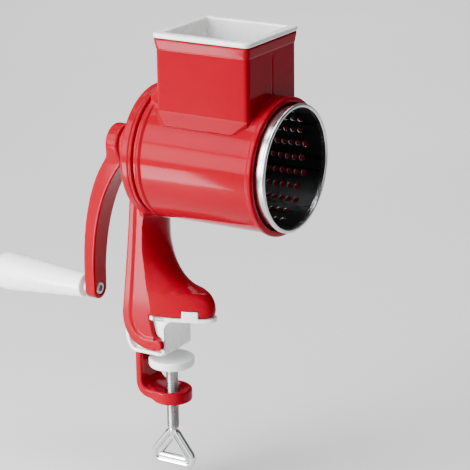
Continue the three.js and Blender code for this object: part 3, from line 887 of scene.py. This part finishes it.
def prow(x, y, z, front_half_x):
    """Where y would lie on the middle section: the front narrows to a prow from the side crease."""
    crease = np.interp(z, CREASE_Z, CREASE_Y)
    share = np.clip(1 - (np.abs(x) / front_half_x) ** PROW_POWER, PROW_LEAST, 1)
    ahead = y < crease
    return np.where(ahead, crease - (crease - y) / share, y), np.where(ahead, share, 1)


def across_prow(distance, share):
    """A distance on the middle section, made shorter where the prow slants across it."""
    return distance * (0.35 + 0.65 * share)


def boot_field(x, y, z, grow=0.0):
    """Leg, foot and heel in one boot, with its side faces let in behind a raised edge."""
    mapped, share = prow(x, y, z, LEG_FACE_X + 0.4)
    section = across_prow(outline_field(mapped, z, BOOT), share)
    face = cut(section, np.abs(x) - LEG_FACE_X, 0.9)
    bead = cut(path_field(y, z, BEAD_PATH, BEAD_RADII), np.abs(x) - LEG_HALF_X, 1.3)
    return join(face, bead, 2.0) - grow


def tab_field(x, y, z, grow):
    """The lining's clip, which follows the foot's flank."""
    flank = boot_field(x, y, np.maximum(z, TAB_FLANK_Z))
    tab = np.maximum(flank - TAB_PROUD, -flank - TAB_DEPTH)
    tab = cut(tab, np.abs(y - TAB_Y) - TAB_HALF_LENGTH, 0.5)
    return cut(tab, slab(z, TAB_BOTTOM_Z, TAB_TOP_Z), 0.5) - grow


def bracket_socket(x, y, z):
    """The slot in the heel that the bracket's upper end sits in."""
    depth = slab(y, BRACKET_INNER_Y - GAP, BRACKET_OUTER_Y + GAP)
    sides = np.abs(x) - BRACKET_HALF_X - GAP
    return np.maximum(np.maximum(depth, sides), slab(z, SOCKET_BOTTOM_Z, BRACKET_TOP_Z + 0.4))


def stand_field(x, y, z):
    """Disc behind the barrel, with a lip that enters it, the bearing tube, and the boot below."""
    radius = around_axis(x, z)
    disc = cut(radius - STAND_R, slab(y, STAND_FRONT_Y, STAND_REAR_Y), 2.2)
    lip = cut(cut(radius - STAND_LIP_R, slab(y, -4, 2), 0.5), STAND_LIP_BORE_R - radius, 0.5)
    groove = length(radius - STAND_R - 0.2, y - 1.2) - 0.7
    disc = without(join(disc, lip, 0.5), groove, 0.5)
    recess = cut(cut(radius - STAND_LIP_BORE_R, y - 4, 0.5), STAND_BOSS_R - radius, 0.5)
    disc = without(disc, recess, 0.8)
    tube = cut(radius - BEARING_TUBE_R, slab(y, -2, BEARING_END_Y), 0.9)
    disc = join(disc, tube, 3.0)
    body = join(disc, boot_field(x, y, z), 3.2)
    body = without(body, radius - BEARING_BORE_R, 0.6)
    body = without(body, tab_field(x, y, z, 0.3), 0.4)
    return without(body, bracket_socket(x, y, z), 0.4)


# Side outline of the lining under the sole and down the wall to the heel, as (y, z) points.
LINER_SIDE = (
    [(FOOT_TIP_Y - 1.6, 0.0), (WALL_SKIN_Y - 5.5, 0.0)]
    + curve((WALL_SKIN_Y - 5.5, 0), (WALL_SKIN_Y, 0), (WALL_SKIN_Y, -6.5), 10)
    + [(WALL_SKIN_Y, LINER_BOTTOM_Z + 3)]
    + curve((WALL_SKIN_Y, LINER_BOTTOM_Z + 3), (WALL_SKIN_Y, LINER_BOTTOM_Z),
            (WALL_SKIN_Y + 3, LINER_BOTTOM_Z), 6)
    + [(18, LINER_BOTTOM_Z)] + curve((18, LINER_BOTTOM_Z), (24.6, -21), (24.6, -8), 8)
    + [(9, 4), (FOOT_TIP_Y - 1.6, 4)])


def foot_liner_field(x, y, z):
    """White lining under the foot and before the heel: an outer skin with let-in side webs."""
    mapped, share = prow(x, y + 0.2, z, LINER_HALF_X + 0.9)
    plan = across_prow(FOOT_TIP_Y - 1.3 - mapped, share)
    section = outline_field(y, z, LINER_SIDE)
    block = cut(section, np.abs(x) - LINER_HALF_X, 1.0)
    block = cut(block, plan, 1.0)
    web = cut(section + WEB_MARGIN, WEB_HALF_X - np.abs(x), 0.8)
    web = np.maximum(web, z - WEB_TOP_Z)
    block = without(block, web, 0.9)
    block = without(block, boot_field(x, y, z, GAP * 0.6), 0.4)
    block = without(block, np.maximum(SOLE_THICKNESS - GAP / 2 - z, y - 4), 0.4)
    block = join(block, tab_field(x, y, z, 0.0), 0.4)
    return without(block, bracket_socket(x, y, z), 0.4)


def make_stand():
    half = STAND_R + 1
    carved("stand_frame", stand_field, (-half, FOOT_TIP_Y - 2, -22), (half, 29, AXIS_Z + half),
           "stand", RED, steepness=3.2)
    reach = LINER_HALF_X + 1.5
    carved("foot_liner", foot_liner_field, (-reach, FOOT_TIP_Y - 3, LINER_BOTTOM_Z - 1),
           (reach, 27, TAB_TOP_Z + 1.5), "stand", WHITE, steepness=4.0)


# ---------- clamp ----------
# Side outline of the strap and its lower arm, as (y, z) points.
BRACKET_SIDE = (
    [(BRACKET_OUTER_Y, BRACKET_TOP_Z), (BRACKET_INNER_Y, BRACKET_TOP_Z), (BRACKET_INNER_Y, -44)]
    + curve((BRACKET_INNER_Y, -44), (BRACKET_INNER_Y, -49.4), (9, -50.2), 8)
    + curve((9, -50.2), (2, -51), (-4, -52), 5) + [(-EYE_R, -52), (-EYE_R, -57.4), (-2, -57.4)]
    + curve((-2, -57.4), (6, -57), (10, -56), 5)
    + curve((10, -56), (BRACKET_OUTER_Y, -55), (BRACKET_OUTER_Y, -44), 8))


def bracket_field(x, y, z):
    """A strap whose lower arm sweeps into a dished eye round the screw."""
    side = outline_field(y, z, BRACKET_SIDE)
    plan = np.where(y > 0, np.abs(x) - BRACKET_HALF_X, length(x, y) - BRACKET_HALF_X)
    strap = cut(side, plan, 1.7)
    channel = np.maximum(np.abs(x) - CHANNEL_HALF_X, slab(y, 8, BRACKET_INNER_Y + CHANNEL_DEPTH))
    strap = without(strap, np.maximum(channel, slab(z, CHANNEL_BOTTOM_Z, 5)), 1.2)
    radius = length(x, y)
    eye = cut(radius - EYE_R, slab(z, EYE_BOTTOM_Z, EYE_TOP_Z), 1.8)
    body = join(strap, eye, 2.6)
    ball = (DISH_R ** 2 + DISH_DEPTH ** 2) / (2 * DISH_DEPTH)
    dish = length(x, y, z - (EYE_TOP_Z - DISH_DEPTH + ball)) - ball
    body = without(body, np.maximum(dish, z - EYE_TOP_Z - 2), 1.0)
    wide = np.maximum(radius - INSERT_R, z - INSERT_SEAT_Z)
    return without(without(body, radius - SCREW_R - 0.5, 0.8), wide, 0.2)


def make_bracket():
    carved("clamp_bracket", bracket_field, (-EYE_R - 1, -EYE_R - 1, EYE_BOTTOM_Z - 1),
           (EYE_R + 1, BRACKET_OUTER_Y + 1, BRACKET_TOP_Z + 1), "stand", RED)
    lathe("clamp_insert", [
        (SCREW_R + GAP, EYE_BOTTOM_Z, 0.3), (INSERT_R - GAP, EYE_BOTTOM_Z, 0.4),
        (INSERT_R - GAP, INSERT_TOP_Z, 0.2), (SCREW_R + GAP, INSERT_TOP_Z, 0.2),
    ], "z", 0, "stand", BRASS, 64)


def make_pad():
    lathe("clamp_pad", [
        (0, -29, 0), (14.6, -29, 0.9), (14.6, -34.2, 1.6), (11.5, -35.4, 1.2), (3.4, -35.4, 0.4),
        (3.4, -34.7, 0), (4.1, -34.7, 0), (4.1, -31.6, 0), (0, -31.6, 0),
    ], "z", 0, "pad", SOFT_WHITE, 128)


# Radii and heights of the screw's neck and of the ball that snaps into the pad.
BALL_END = (
    (3.0, -36.7), (2.9, -36.2), (2.9, -34.4), (3.6, -34.0), (3.75, -33.2), (3.6, -32.4),
    (2.6, -31.95), (0.0, -31.9),
)


def make_screw():
    """Threaded rod with a turned neck and ball end."""
    sides = 48
    angle = 2 * np.pi * np.arange(sides) / sides
    rows = round((THREAD_TOP_Z - THREAD_BOTTOM_Z) / THREAD_PITCH * ROWS_PER_TURN)
    z = np.linspace(THREAD_BOTTOM_Z, THREAD_TOP_Z, rows + 1)[:, None]
    phase = (z / THREAD_PITCH - angle / (2 * np.pi)) % 1.0
    groove = np.clip((np.abs(2 * phase - 1) - 0.12) / 0.76, 0, 1)
    fade = ease((z - THREAD_BOTTOM_Z) / 1.6) * ease((THREAD_TOP_Z - z) / 1.6)
    radius = SCREW_R - THREAD_DEPTH * (groove * fade) - 0.25 * (1 - fade)

    def ring(radii, height):
        return np.stack([radii * np.cos(angle), radii * np.sin(angle), np.full(sides, height)], -1)

    rings = [ring(0.0, THREAD_BOTTOM_Z)]
    rings += [ring(radii, height[0]) for radii, height in zip(radius, z)]
    rings += [ring(radii, height) for radii, height in BALL_END]
    obj = piece("clamp_screw", np.concatenate(rings), ring_faces(len(rings), sides, False),
                "screw", [ZINC])
    welded(obj)


def wire_loop(corner_r, steps=14):
    """A triangular loop of wire with its point up, as (y, z) points round three equal corners."""
    lean = math.degrees(math.atan2(KEY_DROP, KEY_HALF_Y))
    bottom = KEY_TOP_Z - KEY_DROP
    points = arc((0, KEY_TOP_Z), corner_r, 90 - lean, 90 + lean, steps)
    points += arc((-KEY_HALF_Y, bottom), corner_r, 90 + lean, 270, steps)
    points += arc((KEY_HALF_Y, bottom), corner_r, -90, 90 - lean, steps)
    return points


def evened(points, spacing):
    """The same closed path with points at even spacing."""
    path = np.array(points + points[:1])
    reach = np.concatenate([[0], np.cumsum(np.linalg.norm(np.diff(path, axis=0), axis=1))])
    count = int(reach[-1] / spacing)
    along = np.linspace(0, reach[-1], count, endpoint=False)
    return np.stack([np.interp(along, reach, path[:, a]) for a in range(2)], 1)


def weld_field(x, y, z):
    """Blob of weld between the screw's end and the key, cut flat above and below."""
    bead = length(x, y, (z - WELD_Z) * WELD_FLATNESS) - WELD_R
    return cut(bead, slab(z, -84.5, -77.4), 1.0)


def key_turn(corner_r, sides=20):
    """Wire bent to one closed loop, in the plane of the axis and the strap's middle."""
    path = evened(wire_loop(corner_r), 0.55)
    centres = np.stack([np.zeros(len(path)), path[:, 0], path[:, 1]], 1)
    return tube_points(centres, WIRE_R, sides), ring_faces(len(path), sides, True), []


def make_key():
    """Two turns of wire, one inside the other, bent to a triangle and welded below the screw."""
    turns = [key_turn(KEY_CORNER_R - WIRE_R), key_turn(KEY_INNER_CORNER_R)]
    points, faces, _ = gathered(turns)
    obj = piece("clamp_key", points, faces, "screw", [CHROME])
    welded(obj)
    carved("key_weld", weld_field, (-4, -4, -85), (4, 4, -77), "screw", CHROME,
           node="clamp_key")


# ---------- crank ----------
# Side outline of the arm, as (y, z) points: it swings back from the hub to the grip's bolt.
ARM_SIDE = (
    [(HUB_FRONT_Y, AXIS_Z - 3), (HUB_FRONT_Y, AXIS_Z - 12.5)]
    + curve((HUB_FRONT_Y, AXIS_Z - 12.5), (51, 70), (ARM_FOOT_Y - ARM_THICKNESS / 2, 22), 14)
    + [(ARM_FOOT_Y - ARM_THICKNESS / 2, -5), (ARM_FOOT_Y + ARM_THICKNESS / 2, -5),
       (ARM_FOOT_Y + ARM_THICKNESS / 2, 22)]
    + curve((ARM_FOOT_Y + ARM_THICKNESS / 2, 22), (60, 76), (37.5, AXIS_Z - 5), 14))


def arm_field(x, y, z):
    """Hub and arm, with a stepped bore for the spindle and a stepped hole for the grip's bolt."""
    radius = around_axis(x, z)
    hub = cut(radius - HUB_R, slab(y, HUB_FRONT_Y, HUB_REAR_Y), 2.4)
    share = np.clip((z - GRIP_Z) / (AXIS_Z - GRIP_Z), 0, 1)
    half = ARM_END_R + (ARM_TOP_HALF_X - ARM_END_R) * share
    front = np.where(z > GRIP_Z, np.abs(x) - half, length(x, z - GRIP_Z) - ARM_END_R)
    arm = cut(outline_field(y, z, ARM_SIDE), front, 1.3)
    arm = cut(arm, z - AXIS_Z, 0.5)
    body = join(hub, arm, 3.0)
    before_hub = 20
    bore = cut(radius - HUB_BORE_R, slab(y, before_hub, HUB_BORE_END_Y), 0.3)
    mouth = cut(radius - HUB_MOUTH_R, slab(y, before_hub, HUB_MOUTH_END_Y), 0.3)
    body = without(without(body, bore, 0.3), mouth, 0.3)
    from_bolt = length(x, z - GRIP_Z)
    head = np.maximum(from_bolt - BOLT_HEAD_R - GAP, y - BOLT_SEAT_Y)
    return without(without(body, head, 0.5), from_bolt - BOLT_R - GAP, 0.3)


def bolt_field(x, y, z):
    """Socket-head screw that carries the grip."""
    radius = length(x, z - GRIP_Z)
    head = cut(radius - BOLT_HEAD_R, slab(y, BOLT_HEAD_Y, BOLT_NECK_Y), 0.7)
    shank = cut(radius - BOLT_R, slab(y, BOLT_NECK_Y - 1, BOLT_END_Y), 0.4)
    socket = hexagon(x, z - GRIP_Z, BOLT_SOCKET_HALF)
    socket = np.maximum(socket, y - BOLT_HEAD_Y - BOLT_SOCKET_DEPTH)
    return without(join(head, shank, 0.2), socket, 0.2)


def make_crank():
    carved("crank_arm", arm_field, (-HUB_R - 1, HUB_FRONT_Y - 1, GRIP_Z - 8.5),
           (HUB_R + 1, ARM_FOOT_Y + 5, AXIS_Z + HUB_R + 1), "crank", RED)
    reach = BOLT_HEAD_R + 0.6
    carved("grip_bolt", bolt_field, (-reach, BOLT_HEAD_Y - 0.5, GRIP_Z - reach),
           (reach, BOLT_END_Y + 0.5, GRIP_Z + reach), "crank", ZINC)
    lathe("grip_washer", [(2.7, 61.6, 0.3), (4.2, 61.6, 0.4), (4.2, 64.7, 0.4), (2.7, 64.7, 0.3)],
          "y", GRIP_Z, "crank", SOFT_WHITE, 64)
    lathe("thrust_washer", [(6.7, 27.8, 0.2), (9.6, 27.8, 0.3), (9.6, 28.9, 0.3), (6.7, 28.9, 0.2)],
          "y", AXIS_Z, "stand", SOFT_WHITE, 96)
    lathe("bearing_bush", [
        (6.6, -4.4, 0.4), (12.5, -4.4, 0.5), (12.5, -2.4, 0.2), (9.7, -2.4, 0), (9.7, 27.2, 0.3),
        (6.6, 27.2, 0.3)], "y", AXIS_Z, "stand", WHITE, 96)
    lathe("crank_insert", [
        (4.2, 31.2, 0.2), (5.7, 31.2, 0.3), (5.7, 36.9, 0.3), (4.2, 36.9, 0.2)],
        "y", AXIS_Z, "crank", BRASS, 64)


def make_grip():
    lathe("handle_grip", [
        (3, GRIP_FRONT_Y, 0.3), (7.9, GRIP_FRONT_Y, 1.2), (8.3, 72, 0), (9.6, 88, 30),
        (11.4, 110, 60), (12.6, 124.5, 10), (12.2, 129.4, 4), (10.4, 132.4, 3),
        (7.4, GRIP_REAR_Y, 1.0), (6, GRIP_REAR_Y, 0.5), (6, 121, 0), (3, 121, 0),
    ], "y", GRIP_Z, "grip", WHITE, 128)
    lathe("grip_end_plug", [
        (0, 128.5, 0), (5.7, 128.5, 0.3), (5.7, 133.4, 0.7), (3, 133.9, 0), (0, 134, 0)],
        "y", GRIP_Z, "grip", WHITE, 72)


# ---------- studio ----------
FLOOR_HALF = 6.0
FLOOR_DROP = 0.012
WORLD_STRENGTH = 0.15


def make_floor(low):
    """A plain pale floor a little below the clamp's key."""
    mesh = bpy.data.meshes.new("floor")
    half = FLOOR_HALF
    height = low.z - FLOOR_DROP
    mesh.from_pydata([(-half, -half, height), (half, -half, height), (half, half, height),
                      (-half, half, height)], [], [(0, 1, 2, 3)])
    surface = Shader("pale floor", 0.0, specular=0.2)
    surface.colour(surface.noise(1.5, 2), (0.62, 0.62, 0.625), (0.66, 0.66, 0.665))
    surface.roughness(surface.noise(3, 2), 0.6, 0.7)
    mesh.materials.append(surface.made)
    floor = bpy.data.objects.new("floor", mesh)
    bpy.context.scene.collection.objects.link(floor)
    floor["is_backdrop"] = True


def soft_box(name, place, target, size, watts, spread=180):
    """A rectangular light that faces a point, with a beam of so many degrees."""
    data = bpy.data.lights.new(name, "AREA")
    data.shape = "RECTANGLE"
    data.size, data.size_y = size
    data.energy = watts
    data.spread = math.radians(spread)
    light = bpy.data.objects.new(name, data)
    bpy.context.scene.collection.objects.link(light)
    light.location = place
    away = Vector(place) - Vector(target)
    light.rotation_mode = "QUATERNION"
    light.rotation_quaternion = away.to_track_quat("Z", "Y")


def make_light():
    world = bpy.data.worlds.new("studio")
    bpy.context.scene.world = world
    world.use_nodes = True
    world.node_tree.nodes["Background"].inputs["Color"].default_value = (1, 1, 1, 1)
    world.node_tree.nodes["Background"].inputs["Strength"].default_value = WORLD_STRENGTH
    soft_box("left strip", (-0.98, 0.62, 0.27), (-0.04, -0.02, 0.12), (1.0, 0.46), watts=5.0, spread=80)
    soft_box("upper strip", (-0.84, 0.54, 0.76), (-0.04, -0.02, 0.13), (1.0, 0.50), watts=4.0, spread=80)
    soft_box("top", (-0.25, 0.2, 1.4), (0, 0, 0.1), (0.9, 0.9), watts=24)
    soft_box("back floor", (1.3, 0.6, 1.7), (1.3, 0.9, -0.1), (1.4, 1.4), watts=26, spread=110)
    soft_box("front", (-1.8, -1.5, 0.8), (0, 0, 0.08), (1.6, 1.6), watts=12)
    soft_box("low card", (-0.33, 0.215, -0.045), (0, 0.035, 0.02), (0.1, 0.14), watts=2.0)


def make_camera():
    azimuth, elevation, roll = (math.radians(angle) for angle in (-58.58, 17.68, -0.74))
    target = Vector((0.0449, -0.0031, 0.0429))
    distance = 1.3896
    back = Vector((math.sin(azimuth) * math.cos(elevation),
                   -math.cos(azimuth) * math.cos(elevation), math.sin(elevation)))
    level = Vector((math.cos(azimuth), math.sin(azimuth), 0))
    raised = back.cross(level)
    right = level * math.cos(roll) + raised * math.sin(roll)
    up = raised * math.cos(roll) - level * math.sin(roll)
    data = bpy.data.cameras.new("camera")
    data.sensor_width = 36
    data.lens = 166.2
    data.clip_start, data.clip_end = 0.05, 50
    camera = bpy.data.objects.new("camera", data)
    bpy.context.scene.collection.objects.link(camera)
    camera.matrix_world = Matrix.Translation(target + back * distance) @ Matrix(
        (right, up, back)).transposed().to_4x4()
    bpy.context.scene.camera = camera


def main():
    make_barrel()
    make_drum_shell()
    make_drum_parts()
    make_nuts()
    make_stand()
    make_bracket()
    make_pad()
    make_screw()
    make_key()
    make_crank()
    make_grip()
    make_floor(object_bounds()[0])
    make_light()
    make_camera()


main()
